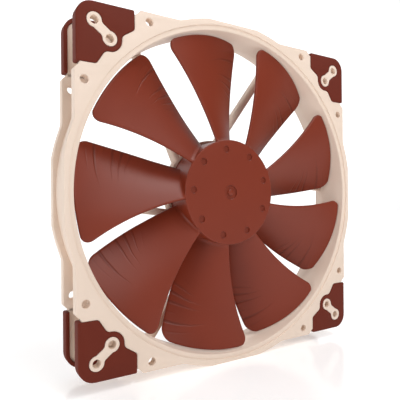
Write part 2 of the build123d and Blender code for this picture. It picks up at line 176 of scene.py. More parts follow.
# %% Moulded plastics
def moulded_plastic(name, light, dark, roughness, grain_mm, grain_depth, cloud_mm=30.0, ior=1.5):
    """Matte moulded skin: cloudy colour, grain in the bump and slightly uneven gloss."""
    material, tree, shader = start_material(name, IOR=ior, Specular_IOR_Level=0.35)
    place = add(tree, "ShaderNodeTexCoord").outputs["Object"]
    clouds = add(tree, "ShaderNodeTexNoise", {"Vector": place, "Scale": 1 / (cloud_mm * MM),
                                              "Detail": 3.0, "Roughness": 0.5})
    colour = add(tree, "ShaderNodeMix", {"Factor": clouds.outputs["Fac"], 6: rgb(dark), 7: rgb(light)},
                 data_type="RGBA").outputs[2]
    grain = add(tree, "ShaderNodeTexNoise", {"Vector": place, "Scale": 1 / (grain_mm * MM),
                                             "Detail": 2.0, "Roughness": 0.6})
    gloss = add(tree, "ShaderNodeMapRange", {"Value": grain.outputs["Fac"], "To Min": roughness - 0.05,
                                             "To Max": roughness + 0.05})
    bump = add(tree, "ShaderNodeBump", {"Height": grain.outputs["Fac"], "Strength": 0.35,
                                        "Distance": grain_depth * MM})
    tree.links.new(colour, shader.inputs["Base Color"])
    tree.links.new(gloss.outputs["Result"], shader.inputs["Roughness"])
    tree.links.new(bump.outputs["Normal"], shader.inputs["Normal"])
    return material


beige = moulded_plastic("moulded_polyester_beige", "ECD8C8", "E5D0BE", 0.55, 0.5, 0.03)
brown = moulded_plastic("moulded_polyester_brown", "80301A", "772B15", 0.42, 0.45, 0.02)
silicone = moulded_plastic("moulded_silicone_brown", "6A2412", "611F0E", 0.7, 0.6, 0.03, 18.0, 1.41)
print("plastics", beige.name, brown.name, silicone.name)

# %% [markdown]
# Longer sums are written as a table. Each row has the name of its result, an operation and its
# terms, which are numbers or the names of earlier results. A loop adds one node for each row.

# %% Sums as a table
def work_out(tree, known, rows):
    """Adds one node for each row and keeps its result in known, under the row's name."""
    for name, operation, *terms in rows:
        feeds = {i: known[term] if isinstance(term, str) else term for i, term in enumerate(terms)}
        known[name] = add(tree, "ShaderNodeMath", feeds, operation=operation).outputs[0]
    return known


print("sums ready")

# %% [markdown]
# Fine creases cross the outer part of each blade, where the melt folded as it cooled. They
# start at the trailing edge, fan out and die away towards the middle of the blade. The blades
# store their own place as an attribute: how far back, how far out and which face.

# %% Creases of the blades
def add_flow_creases(material, depth_mm):
    """Fine creases in the outer part of each blade, fanning out towards the trailing edge, with painted
    shade inside each groove.
    """
    tree = material.node_tree
    place = add(tree, "ShaderNodeAttribute", attribute_name="blade_place").outputs["Vector"]
    spot = add(tree, "ShaderNodeSeparateXYZ", {0: place}).outputs
    bend = add(tree, "ShaderNodeTexNoise", {"Vector": place, "Scale": 5.0, "Detail": 0.0}).outputs["Fac"]
    known = {"back": spot["X"], "out": spot["Y"], "front": spot["Z"], "bend": bend}
    work_out(tree, known, [
        # lines leave one point near the leading edge, so each keeps a fixed share of the spread
        ("radius", "MULTIPLY", "out", 100.0),
        ("from_fan", "SUBTRACT", "radius", 74.0),
        ("opened", "ADD", "back", 0.15),
        ("spread", "MAXIMUM", "opened", 0.1),
        ("ray", "DIVIDE", "from_fan", "spread"),
        ("bent", "MULTIPLY", "bend", 1.6),
        ("along", "ADD", "ray", "bent"),
        ("slow", "MULTIPLY", "along", 0.31)])
    # each line has its own length, read from noise across the lines only
    known["varied"] = add(tree, "ShaderNodeTexNoise", {"W": known["slow"], "Scale": 1.0, "Detail": 0.0},
                          noise_dimensions="1D").outputs["Fac"]
    work_out(tree, known, [
        ("phase", "MULTIPLY", "along", 1.25),
        ("line", "COSINE", "phase"),
        ("start", "ADD", "varied", 0.05),
        ("past_start", "SUBTRACT", "back", "start"),
        ("growth", "MULTIPLY", "past_start", 2.2),
        ("grown", "MAXIMUM", "growth", 0.0),
        ("taper", "MINIMUM", "grown", 1.0),
        ("wedge", "MULTIPLY", "taper", 0.75),
        ("below_crest", "SUBTRACT", "line", 1.0),
        ("in_wedge", "ADD", "below_crest", "wedge"),
        ("sunk", "MAXIMUM", "in_wedge", 0.0),
        ("slope", "DIVIDE", "sunk", 0.7),
        ("groove", "MINIMUM", "slope", 1.0),
        # the creases fade out towards the hub and at the tip
        ("past_inner", "SUBTRACT", "radius", 57.0),
        ("inner_share", "DIVIDE", "past_inner", 7.0),
        ("inner_rise", "MAXIMUM", "inner_share", 0.0),
        ("inner", "MINIMUM", "inner_rise", 1.0),
        ("to_outer", "SUBTRACT", 91.0, "radius"),
        ("outer_share", "DIVIDE", "to_outer", 5.0),
        ("outer_rise", "MAXIMUM", "outer_share", 0.0),
        ("outer", "MINIMUM", "outer_rise", 1.0),
        ("zone", "MULTIPLY", "inner", "outer"),
        ("on_front", "MULTIPLY", "groove", "front"),
        ("amount", "MULTIPLY", "zone", "on_front"),
        ("depth", "MULTIPLY", "amount", -1.0),
        # painted shade: inside each groove the colour is darkened a little, standing in for the shade
        # that a groove this narrow would hold
        ("painted_shade", "MULTIPLY", "amount", 0.34)])
    shader, grain = tree.nodes["Principled BSDF"], tree.nodes["Bump"]
    crease = add(tree, "ShaderNodeBump", {"Height": known["depth"], "Strength": 1.0,
                 "Distance": depth_mm * MM, "Normal": grain.outputs["Normal"]})
    tree.links.new(crease.outputs["Normal"], shader.inputs["Normal"])
    # painted shade in the creases: the base colour is mixed towards dark brown by the groove's amount
    plain = shader.inputs["Base Color"].links[0].from_socket
    painted_shade_mix = add(tree, "ShaderNodeMix", {"Factor": known["painted_shade"], 6: plain, 7: rgb("3A150C")},
                 data_type="RGBA")
    tree.links.new(painted_shade_mix.outputs[2], shader.inputs["Base Color"])


add_flow_creases(brown, 0.22)
print("brown nodes", len(brown.node_tree.nodes))

# %% [markdown]
# The motor parts keep their engineering shapes and get a finish each. Turned and stamped
# metals carry fine lines that run round the axis, so their bump reads the distance from it.
# Real tool marks are about 0.1 mm apart; they are drawn at 0.35 mm so that a view shows them.

# %% Metals
def metal(name, light, dark, roughness, line_mm=0.35, line_depth=0.01):
    """Worked metal: rings of tool marks, cloudy tone and uneven polish."""
    material, tree, shader = start_material(name, Metallic=1.0)
    place = add(tree, "ShaderNodeTexCoord").outputs["Object"]
    rings = add(tree, "ShaderNodeTexWave", {"Vector": place, "Scale": 1 / (line_mm * MM * 20),
                "Distortion": 0.4, "Detail": 1.0}, wave_type="RINGS", rings_direction="Y")
    clouds = add(tree, "ShaderNodeTexNoise", {"Vector": place, "Scale": 1 / (4 * MM), "Detail": 4.0})
    gloss = add(tree, "ShaderNodeMapRange", {"Value": clouds.outputs["Fac"],
                "To Min": roughness - 0.08, "To Max": roughness + 0.08})
    bump = add(tree, "ShaderNodeBump", {"Height": rings.outputs["Fac"], "Strength": 0.3,
                                        "Distance": line_depth * MM})
    colour = add(tree, "ShaderNodeMix", {"Factor": clouds.outputs["Fac"], 6: rgb(dark), 7: rgb(light)},
                 data_type="RGBA").outputs[2]
    tree.links.new(colour, shader.inputs["Base Color"])
    tree.links.new(gloss.outputs["Result"], shader.inputs["Roughness"])
    tree.links.new(bump.outputs["Normal"], shader.inputs["Normal"])
    return material


zinc_steel = metal("zinc_plated_drawn_steel", "C9CCCE", "B4B8BB", 0.35)
ground_steel = metal("ground_hardened_steel", "C6C7C8", "BDBEC0", 0.18, 0.3, 0.004)
turned_brass = metal("turned_brass", "D9B66A", "CBA657", 0.25)
sintered_bronze = metal("oil_filled_sintered_bronze", "A57B4C", "8E683E", 0.5, 0.8, 0.02)
print("metals", zinc_steel.name, sintered_bronze.name)

# %% [markdown]
# The stator is a stack of 0.5 mm sheets, so its edge shows layers along the axis. The coils
# are enamelled copper wire about 0.25 mm thick, drawn at 0.4 mm. Both are bands that follow
# one coordinate, so one function makes them.

# %% Stacked sheets and wound wire
def banded(name, light, dark, direction, band_mm, metallic, roughness, depth_mm):
    """Parallel bands along one axis of the object, with rounded relief between them."""
    material, tree, shader = start_material(name, Metallic=metallic, Roughness=roughness)
    place = add(tree, "ShaderNodeTexCoord").outputs["Object"]
    bands = add(tree, "ShaderNodeTexWave", {"Vector": place, "Scale": 1 / (band_mm * MM * 20),
                "Distortion": 0.1}, wave_type="BANDS", bands_direction=direction)
    bump = add(tree, "ShaderNodeBump", {"Height": bands.outputs["Fac"], "Strength": 0.6,
                                        "Distance": depth_mm * MM})
    colour = add(tree, "ShaderNodeMix", {"Factor": bands.outputs["Fac"], 6: rgb(dark), 7: rgb(light)},
                 data_type="RGBA").outputs[2]
    tree.links.new(colour, shader.inputs["Base Color"])
    tree.links.new(bump.outputs["Normal"], shader.inputs["Normal"])
    return material


laminated_steel = banded("stamped_silicon_steel_stack", "8C8F93", "6A6D70", "Y", 0.5, 1.0, 0.45, 0.03)
magnet_wire = banded("enamelled_copper_wire", "C4703A", "8A4522", "DIAGONAL", 0.4, 1.0, 0.3, 0.08)
print("bands", laminated_steel.name, magnet_wire.name)

# %% [markdown]
# The rest are non-metals made like the plastics above, each with its own grain: a bonded
# ferrite magnet is dull and gritty, moulded nylon is silky, a chip's epoxy is fine and matt,
# the board's solder mask is smooth with the glass weave showing through in slow waves, and the
# blank polyester label has a satin print.

# %% Other materials
ferrite = moulded_plastic("bonded_ferrite", "3B3A3A", "2C2B2C", 0.7, 0.3, 0.04, 6.0)
nylon = moulded_plastic("moulded_nylon_white", "E9E6DC", "DFDBD0", 0.4, 0.4, 0.01, 12.0)
acetal = moulded_plastic("moulded_acetal_black", "1E1E1F", "171718", 0.35, 0.3, 0.005, 5.0)
solder_mask = moulded_plastic("glass_board_green_mask", "1F5A38", "17482C", 0.3, 1.2, 0.01, 3.0)
epoxy = moulded_plastic("moulded_epoxy_black", "242425", "1B1B1C", 0.55, 0.2, 0.01, 2.0)
ceramic = moulded_plastic("fired_ceramic_tan", "B79468", "A68457", 0.4, 0.3, 0.01, 1.5)
label_film = moulded_plastic("printed_polyester_film", "6F3327", "682E23", 0.3, 2.5, 0.01, 25.0)

FINISHES = {
    zinc_steel: ["rotor_yoke", "oil_seal_washer"],
    ground_steel: ["shaft"],
    turned_brass: ["shaft_boss", "bearing_tube", "terminal_pins"],
    sintered_bronze: ["bearing_bush"],
    laminated_steel: ["stator_core"],
    magnet_wire: ["coil_1", "coil_2", "coil_3", "coil_4"],
    ferrite: ["ring_magnet"],
    nylon: ["stator_insulator_front", "stator_insulator_rear", "thrust_disc"],
    acetal: ["retaining_clip", "bearing_cap"],
    solder_mask: ["circuit_board"],
    epoxy: ["driver_chip", "hall_sensor"],
    ceramic: ["chip_components", "smoothing_capacitor"],
    label_film: ["rear_label"]}
for finish, nodes in FINISHES.items():
    for node in nodes:
        for material_slot in bpy.data.objects[node].material_slots:
            material_slot.material = finish
print("finished", sum(len(nodes) for nodes in FINISHES.values()), "motor parts")

# %% [markdown]
# Flat moulded parts, such as flanges, pads and bosses, are outlines with a thickness and a
# rounded edge. A filled 2D curve makes exactly that: its extrusion gives the thickness and its
# bevel rounds every edge, holes included.

# %% Outlines
def arc(radius, start, end, centre=(0.0, 0.0), steps=24):
    """Points of a round stretch, angles in degrees."""
    angles = [math.radians(start + (end - start) * i / steps) for i in range(steps + 1)]
    return [(centre[0] + radius * math.cos(a), centre[1] + radius * math.sin(a)) for a in angles]


def ring(radius, centre=(0.0, 0.0), steps=48):
    """A full circle, as a closed outline."""
    return arc(radius, 0, 360, centre, steps)[:-1]


def rounded(corners, steps=8):
    """An outline from (x, y, radius) corners, each replaced by its tangent arc."""
    points = []
    for i, (x, y, radius) in enumerate(corners):
        here = Vector((x, y))
        before = Vector(corners[i - 1][:2]) - here
        after = Vector(corners[(i + 1) % len(corners)][:2]) - here
        if radius <= 0:
            points.append((x, y))
            continue
        half = before.angle(after) / 2
        reach = radius / math.tan(half)
        middle = (before.normalized() + after.normalized()).normalized()
        centre = here + middle * radius / math.sin(half)
        first = here + before.normalized() * reach - centre
        last = here + after.normalized() * reach - centre
        sweep = first.angle_signed(last)
        for k in range(steps + 1):
            turned = first.copy()
            turned.rotate(Matrix.Rotation(-sweep * k / steps, 2))
            points.append(tuple(centre + turned))
    return points


def four_quadrants(points):
    """Repeats a top right stretch, from the vertical axis round to the horizontal one."""
    right = points + [(x, -y) for x, y in reversed(points)]
    return right + [(-x, y) for x, y in reversed(right)]


def corners_of(x, y):
    """The four mirrored places of a point."""
    return [(x, y), (-x, y), (-x, -y), (x, -y)]


print("ring points", len(ring(BORE)))

# %% [markdown]
# The plate function stands the finished curve upright: the curve's own Z becomes the direction
# out of the intake side, so heights are measured from mid depth towards the viewer.

# %% Plates
UPRIGHT = Matrix(((1, 0, 0), (0, 0, -1), (0, 1, 0))).to_4x4()


def plate(outlines, low, high, edge=0.35, steps=2):
    """Mesh of a plate between two heights, from outer and hole outlines in millimetres."""
    curve = bpy.data.curves.new("outline", "CURVE")
    curve.dimensions = "2D"
    curve.fill_mode = "BOTH"
    for outline in outlines:
        spline = curve.splines.new("POLY")
        spline.points.add(len(outline) - 1)
        spline.use_cyclic_u = True
        for point, (x, y) in zip(spline.points, outline):
            point.co = (x, y, 0, 1)
    curve.extrude = (high - low) / 2 - edge
    curve.bevel_depth = edge
    curve.bevel_resolution = steps
    curve.offset = -edge
    holder = bpy.data.objects.new("outline", curve)
    scene.collection.objects.link(holder)
    graph = bpy.context.evaluated_depsgraph_get()
    mesh = bpy.data.meshes.new_from_object(holder.evaluated_get(graph))
    bpy.data.objects.remove(holder)
    bpy.data.curves.remove(curve)
    mesh.transform(Matrix.Scale(MM, 4) @ UPRIGHT @ Matrix.Translation((0, 0, (low + high) / 2)))
    return mesh


print("plates ready")

# %% [markdown]
# Finished shells are cleaned and joined into one mesh, which becomes a piece that rides on a body and
# stands for a node of the imported model.

# %% Clean, join and name
def tidy_mesh(mesh, angle=30.0, material=None):
    """Welds doubles, smooths round faces and keeps real edges sharp."""
    work = bmesh.new()
    work.from_mesh(mesh)
    bmesh.ops.remove_doubles(work, verts=work.verts, dist=2e-6)
    bmesh.ops.dissolve_degenerate(work, edges=work.edges, dist=1e-7)
    for face in work.faces:
        face.smooth = True
        face.material_index = 0
    work.to_mesh(mesh)
    work.free()
    mesh.set_sharp_from_angle(angle=math.radians(angle))
    mesh.materials.clear()
    if material:
        mesh.materials.append(material)
    return mesh


def joined(meshes):
    """One mesh from several closed shells."""
    work = bmesh.new()
    for mesh in meshes:
        work.from_mesh(mesh)
    result = bpy.data.meshes.new("joined")
    work.to_mesh(result)
    work.free()
    return result


def piece(name, mesh, body, node):
    """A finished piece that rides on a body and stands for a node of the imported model."""
    mesh.name = name
    obj = bpy.data.objects.new(name, mesh)
    scene.collection.objects.link(obj)
    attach(obj, body)
    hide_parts(node)
    print(name, "faces", len(mesh.polygons))


print("cleaning ready")

# %% [markdown]
# Round parts, such as the duct, the motor base and the hub, are profiles turned about the axis.
# Points on the axis weld together, so the turned shell is closed.

# %% Turned shapes
def turned(profile, segments=192):
    """A closed (radius, height) profile in millimetres turned about the fan's axis."""
    work = bmesh.new()
    rows = []
    for k in range(segments):
        a = 2 * math.pi * k / segments
        rows.append([work.verts.new((r * math.cos(a), -h, r * math.sin(a))) for r, h in profile])
    count = len(profile)
    for k in range(segments):
        here, there = rows[k], rows[(k + 1) % segments]
        for i in range(count):
            j = (i + 1) % count
            work.faces.new((here[i], here[j], there[j], there[i]))
    bmesh.ops.scale(work, vec=(MM, MM, MM), verts=work.verts)
    bmesh.ops.remove_doubles(work, verts=work.verts, dist=1e-7)
    bmesh.ops.dissolve_degenerate(work, edges=work.edges, dist=1e-8)
    bmesh.ops.recalc_face_normals(work, faces=work.faces)
    mesh = bpy.data.meshes.new("turned")
    work.to_mesh(mesh)
    work.free()
    return mesh


print("turning ready")

# %% [markdown]
# Both flanges share one outline: straight edges, the round ring that bulges past them and is
# trimmed flat where it would leave the 200 mm square, and a stepped notch at each corner where
# the pad sits. The notch is the pad's own inner edge, so pad and frame meet all along it.

# %% Flange and pad outlines
def pad_inner_edge(margin=0.0):
    """The pad's wavy edge towards the ring, from its upper end round to its side end."""
    inner, step, far = INNER - 6.5 - margin, INNER + 2.5 - margin, INNER + 7.0 - margin
    end = PAD_END - margin
    return [(end, far, 2.0), (inner, step, 3.0), (inner, inner, 6.6), (step, inner, 3.0),
            (far, end, 2.0)]


def pad_outline():
    """A whole pad seen from in front, with its wavy inner edge."""
    start = [(PAD_END, PAD_OUTER, 0.9)]
    end = [(PAD_OUTER, PAD_END, 0.9), (PAD_OUTER, PAD_OUTER, 8.5)]
    return rounded(start + pad_inner_edge() + end)


def flange_outline():
    """Ring, straight edges and pad notches of one flange, all round."""
    radius = RING_HALF + 1.5
    flat = math.degrees(math.acos(RING_HALF / radius))
    meet = math.degrees(math.acos(SQUARE_HALF / radius))
    edge_end = PAD_END - 3.6
    blend = math.radians(1.6)
    upper = [(0, RING_HALF)] + arc(radius, 90 - flat, 90 - meet + 1.3, steps=10)
    join = (radius * math.cos(math.radians(90 - meet)), SQUARE_HALF)
    upper += [(join[0] + 0.15, join[1] + 0.12), (join[0] + radius * blend, SQUARE_HALF)]
    upper += [(edge_end, SQUARE_HALF), (edge_end + 2.9, SEAT), (PAD_END - 0.1, SEAT)]
    wave = rounded([(PAD_END - 0.1, SEAT + 9, 0)] + pad_inner_edge(0.1) + [(SEAT + 9, PAD_END - 0.1, 0)])
    side = [(y, x) for x, y in reversed(upper)]
    return four_quadrants(upper + wave[1:-1] + side)


flange = flange_outline()
print("flange outline points", len(flange))

# %% [markdown]
# The bone-shaped boss carries the two corner screw holes through the pad. Its waist is tangent
# to both round ends, so four short arcs join two long ones.

# %% Bosses and shelves
def bone(radius, waist, hollow=2.5, margin=0.0):
    """Bone outline along the corner's diagonal, round the two screw holes."""
    radius, waist, hollow = radius + margin, waist + margin, hollow - margin
    length = (CORNER - INNER) * math.sqrt(2)
    side = waist + hollow
    run = math.sqrt((radius + hollow) ** 2 - side ** 2)
    lean = math.degrees(math.atan2(side, run))
    half = arc(radius, lean, 360 - lean)
    half += arc(hollow, 180 - lean, 90, (run, -side), 8)
    other = [(length - x, -y) for x, y in half]
    diagonal = math.sqrt(0.5)
    return [(INNER + (x - y) * diagonal, INNER + (x + y) * diagonal) for x, y in half + other]


def mirrored(points, sx, sy):
    """The outline in another corner."""
    return [(x * sx, y * sy) for x, y in points]


def shelf_outline():
    """Thin corner of the flange under a pad, reaching a little into the main plate."""
    far = INNER + 5.0
    return rounded([(PAD_END - 2, SEAT, 0), (PAD_END - 2, far, 1), (INNER - 8, INNER + 1, 3),
                    (INNER - 8, INNER - 8, 6), (INNER + 1, INNER - 8, 3), (far, PAD_END - 2, 1),
                    (SEAT, PAD_END - 2, 0), (SEAT, SEAT, 6.4)])


def flange_meshes(side, thickness):
    """Plate, four shelves and four bosses of one flange; side is 1 for the intake flange."""
    face, inside, seat, top = FACE, FACE - thickness, FACE - PAD_CAP, DEPTH_HALF
    side_holes = corners_of(SIDE, SIDE_SHORT) + corners_of(SIDE_SHORT, SIDE)
    main = [flange, ring(LIP, steps=288)] + [ring(SCREW, centre) for centre in side_holes]
    layers = [(main, inside, face, 0.3)]
    holes = [ring(SCREW, (CORNER, CORNER)), ring(SCREW, (INNER, INNER))]
    for sx, sy in corners_of(1, 1):
        flipped = [mirrored(h, sx, sy) for h in holes]
        layers.append(([mirrored(shelf_outline(), sx, sy)] + flipped, inside, seat, 0.3))
        boss = mirrored(bone(SCREW + BOSS_WALL, BOSS_WAIST), sx, sy)
        layers.append(([boss] + flipped, seat - 1, top, 0.3))
    meshes = []
    for outlines, low, high, edge in layers:
        bounds = (low, high) if side > 0 else (-high, -low)
        meshes.append(plate(outlines, *bounds, edge))
    return meshes


front_flange = flange_meshes(1, FRONT_FLANGE)
rear_flange = flange_meshes(-1, REAR_FLANGE)
print("flange shells", len(front_flange) + len(rear_flange))

# %% [markdown]
# The duct is a turned profile: a recessed lip band, a rounded step into the throat, and a
# gentle flare at the outlet. The motor base is turned too, with its blank label recess behind.

# %% Duct and motor base
BASE = 33.5
STRUT_DEPTH = 6.0


def duct_profile():
    """Outlet flare, throat, rounded lip, recessed band and the wall's plain outside."""
    lip_h, lip_round, rear = FACE - 0.8, 0.8, -FACE + 0.25
    flare = [(BORE + 3.1 * (1 - t / 10) ** 1.3, rear + 10.4 * t / 10) for t in range(11)]
    lip = arc(lip_round, 180, 90, (BORE + lip_round, lip_h - lip_round), 6)
    return flare + lip + [(LIP + 0.1, lip_h), (TUBE, lip_h - 1), (TUBE, rear)]


def base_profile():
    """Cup of the motor base: rim, wall, bearing socket and the shallow label recess."""
    low, high, inside = -FACE, -FACE + STRUT_DEPTH, -FACE + 1.8
    outer = arc(0.8, -90, 0, (BASE - 0.8, low + 0.8), 5)
    outer += arc(0.5, 0, 90, (BASE - 0.5, high - 0.5), 4)
    wall, socket, socket_h, bore, label = BASE - 2.2, 6.8, -9.8, 4.99, 28.3
    return outer + [(wall + 0.3, high), (wall, high - 0.3), (wall, inside), (socket, inside),
                    (socket, socket_h), (bore, socket_h), (bore, low + 0.4), (label, low + 0.4),
                    (label, low + 0.15), (label + 0.15, low)]


duct = turned(duct_profile(), 288)
base = turned(base_profile(), 160)
print("duct faces", len(duct.polygons))

# %% [markdown]
# Six identical struts lean round the axis. One bar is modelled, and a Geometry Nodes tree
# repeats it: points at the centre, one bar on each, turned by its share of a circle. The tree
# ends by realising the copies, so an ordinary mesh comes out.

# %% A repeat-about-the-axis tree
STRUTS = 6
FIRST_STRUT = 143.0


def repeat_tree(name, material):
    """Geometry Nodes tree that repeats its input about the fan's axis."""
    tree = bpy.data.node_groups.new(name, "GeometryNodeTree")
    face = tree.interface
    face.new_socket("Geometry", in_out="INPUT", socket_type="NodeSocketGeometry")
    count = face.new_socket("Count", in_out="INPUT", socket_type="NodeSocketInt")
    first = face.new_socket("First angle", in_out="INPUT", socket_type="NodeSocketFloat")
    face.new_socket("Geometry", in_out="OUTPUT", socket_type="NodeSocketGeometry")
    source = add(tree, "NodeGroupInput").outputs
    points = add(tree, "GeometryNodePoints", {"Count": source["Count"]})
    index = add(tree, "GeometryNodeInputIndex").outputs[0]
    share = add(tree, "ShaderNodeMath", {0: index, 1: source["Count"]}, operation="DIVIDE").outputs[0]
    turn = add(tree, "ShaderNodeMath", {0: share, 1: -2 * math.pi, 2: source["First angle"]},
               operation="MULTIPLY_ADD").outputs[0]
    angles = add(tree, "ShaderNodeCombineXYZ", {"Y": turn}).outputs[0]
    spin = add(tree, "FunctionNodeEulerToRotation", {0: angles}).outputs[0]
    copies = add(tree, "GeometryNodeInstanceOnPoints", {"Points": points.outputs[0],
                 "Instance": source["Geometry"], "Rotation": spin})
    real = add(tree, "GeometryNodeRealizeInstances", {0: copies.outputs[0]})
    painted = add(tree, "GeometryNodeSetMaterial", {"Geometry": real.outputs[0], "Material": material})
    add(tree, "NodeGroupOutput", {0: painted.outputs[0]})
    return tree, {"Count": count.identifier, "First angle": first.identifier}


def run_tree(mesh, tree, values):
    """Runs a tree on a mesh and returns the plain result."""
    holder = bpy.data.objects.new("holder", mesh)
    scene.collection.objects.link(holder)
    modifier = holder.modifiers.new("nodes", "NODES")
    modifier.node_group = tree
    for identifier, value in values.items():
        modifier[identifier] = value
    graph = bpy.context.evaluated_depsgraph_get()
    result = bpy.data.meshes.new_from_object(holder.evaluated_get(graph))
    bpy.data.objects.remove(holder)
    return result


def strut_bar():
    """One strut: a bar with a rounded crown, along the line that passes beside the axis."""
    offset, width, depth, crown = 16.0, 4.5, STRUT_DEPTH, 1.8
    inner = math.sqrt((BASE - 1.1) ** 2 - offset ** 2)
    outer = math.sqrt((TUBE - 0.3) ** 2 - (offset + width / 2) ** 2)
    low, high = -FACE, -FACE + depth
    half, foot = width / 2, 0.35
    outline = rounded([(-half, low, foot), (half, low, foot),
                       (half, high, crown), (-half, high, crown)], 6)
    work = bmesh.new()
    ends = []
    for along in (inner, outer):
        ends.append([work.verts.new(((offset + x) * MM, -h * MM, -along * MM)) for x, h in outline])
    for i in range(len(outline)):
        j = (i + 1) % len(outline)
        work.faces.new((ends[0][i], ends[0][j], ends[1][j], ends[1][i]))
    work.faces.new(ends[0])
    work.faces.new(list(reversed(ends[1])))
    bmesh.ops.recalc_face_normals(work, faces=work.faces)
    mesh = bpy.data.meshes.new("strut")
    work.to_mesh(mesh)
    work.free()
    return mesh


strut_repeat, strut_inputs = repeat_tree("struts_round_the_base", beige)
struts = run_tree(strut_bar(), strut_repeat, {strut_inputs["Count"]: STRUTS,
                                              strut_inputs["First angle"]: -math.radians(FIRST_STRUT)})
print("strut faces", len(struts.polygons))

# %% [markdown]
# Cut shapes need an exact boolean, which a modifier does. The modifier is evaluated at once and
# only its result is kept. Its first use is the small outlet in the motor base's rim, where the
# motor's leads leave it.

# %% Cable outlet
OUTLET_SIZE = (4.0, 2.8, 5.0)
OUTLET_PLACE = (0.0, 11.4, -BASE)


def boolean(target, cutter):
    """The target less the cutter, as a plain mesh."""
    first = bpy.data.objects.new("target", target)
    second = bpy.data.objects.new("cutter", cutter)
    for obj in (first, second):
        scene.collection.objects.link(obj)
    modifier = first.modifiers.new("cut", "BOOLEAN")
    modifier.object = second
    modifier.operation = "DIFFERENCE"
    modifier.solver = "EXACT"
    graph = bpy.context.evaluated_depsgraph_get()
    result = bpy.data.meshes.new_from_object(first.evaluated_get(graph))
    for obj in (first, second):
        bpy.data.objects.remove(obj)
    return result


outlet = bpy.data.meshes.new("outlet")
work = bmesh.new()
grown = Matrix.Diagonal([v * MM for v in OUTLET_SIZE]).to_4x4()
place = Matrix.Translation([v * MM for v in OUTLET_PLACE]) @ grown
bmesh.ops.create_cube(work, size=1.0, matrix=place)
work.to_mesh(outlet)
work.free()
before = len(base.polygons)
base = boolean(tidy_mesh(base), outlet)
print("base faces", before, "to", len(base.polygons))

# %% [markdown]
# The frame is one moulding, so flanges, duct, base and struts become one mesh.

# %% Frame piece
frame_mesh = tidy_mesh(joined(front_flange + rear_flange + [duct, base, struts]), 32, beige)
piece("frame_moulding", frame_mesh, "frame_body", "frame")

# %% [markdown]
# A pad is a soft cap over a flange corner: a cap that carries the load and a skirt that grips
# the edge. It starts as one plate with the boss's opening, and a boolean cuts the seat for the
# flange out of its underside. The other seven are mirrored copies.

# %% Corner pads
PAD_FIT = 0.1
SEAT_ROUND = 6.4


def one_pad():
    """The top right pad of the intake side."""
    outlines = [pad_outline(), bone(SCREW + BOSS_WALL, BOSS_WAIST, margin=0.12)]
    body = plate(outlines, DEPTH_HALF - PAD_THICKNESS, DEPTH_HALF, 0.6, 4)
    near, far = 40, SEAT + PAD_FIT
    seat = rounded([(near, near, 0), (far, near, 0), (far, far, SEAT_ROUND), (near, far, 0)])
    cutter = plate([seat], 0, FACE - PAD_CAP + 0.05, 0.2)
    return boolean(tidy_mesh(body), tidy_mesh(cutter))


pad_mesh = one_pad()
for row, sz in (("top", 1), ("bottom", -1)):
    for end, sx in (("right", 1), ("left", -1)):
        for side, sy in (("front", 1), ("rear", -1)):
            copy = pad_mesh.copy()
            copy.transform(Matrix.Diagonal((sx, sy, sz, 1)))
            if sx * sy * sz < 0:
                copy.flip_normals()
            tidy_mesh(copy, 35, silicone)
            name = f"pad_{side}_{row}_{end}"
            piece(name + "_skin", copy, "frame_body", name)

# %% [markdown]
# The impeller follows a rule, so its blade is computed. Each point of a flat grid gets a place
# on the blade: one grid direction runs round the blade's section, the other from hub to tip.
# The leading and trailing edges are quadratic laws of the radius, the section is a cambered
# plate with half-round edges, and the tip corners are rounded by drawing the edges in.

# %% The blade law
HUB = 31.75
BLADES = 9
FIRST_BLADE = 20.0
TIP = BORE - 1.0
ROOT = HUB - 1.0
HUB_FACE = FACE - 4.1
HUB_SKIRT = -FACE + 6.6
LAWS = {"lead_angle": (7.5, 8.0, 1.9), "trail_angle": (-24.0, 8.3, -1.5),
        "lead_h": (HUB_FACE - 1.1, -2.6, 3.2), "trail_h": (HUB_SKIRT + 4.3, -14.5, 17.6)}

# round the section, and from the tip to just inside the hub
GRID_PLACE = [
    ("half_turn", "ADD", "x", 0.5),
    ("turn", "MULTIPLY", "half_turn", 2 * math.pi),
    ("inward", "SUBTRACT", 0.5, "y"),
    ("inward_bunched", "POWER", "inward", 1.4),
    ("drop", "MULTIPLY", "inward_bunched", TIP - ROOT),
    ("radius", "SUBTRACT", TIP, "drop"),
    ("past_hub", "SUBTRACT", "radius", HUB),
    ("share", "DIVIDE", "past_hub", TIP - HUB)]

# quadratic laws; the trailing edge also sweeps back into the hub, so neighbouring roots overlap
EDGE_LAWS = []
for law, (start, slope, curve) in LAWS.items():
    EDGE_LAWS += [(law + "_slope", "MULTIPLY_ADD", "share", curve, slope),
                  (law, "MULTIPLY_ADD", law + "_slope", "share", start)]
EDGE_LAWS += [
    ("flare_share", "DIVIDE", "share", 0.35),
    ("to_root", "SUBTRACT", 1.0, "flare_share"),
    ("at_root", "MAXIMUM", "to_root", 0.0),
    ("at_root_squared", "POWER", "at_root", 2.0),
    ("swept", "MULTIPLY", "at_root_squared", "Root flare"),
    ("trail", "SUBTRACT", "trail_angle", "swept"),
    ("wide", "SUBTRACT", "lead_angle", "trail"),
    ("rise", "SUBTRACT", "lead_h", "trail_h")]

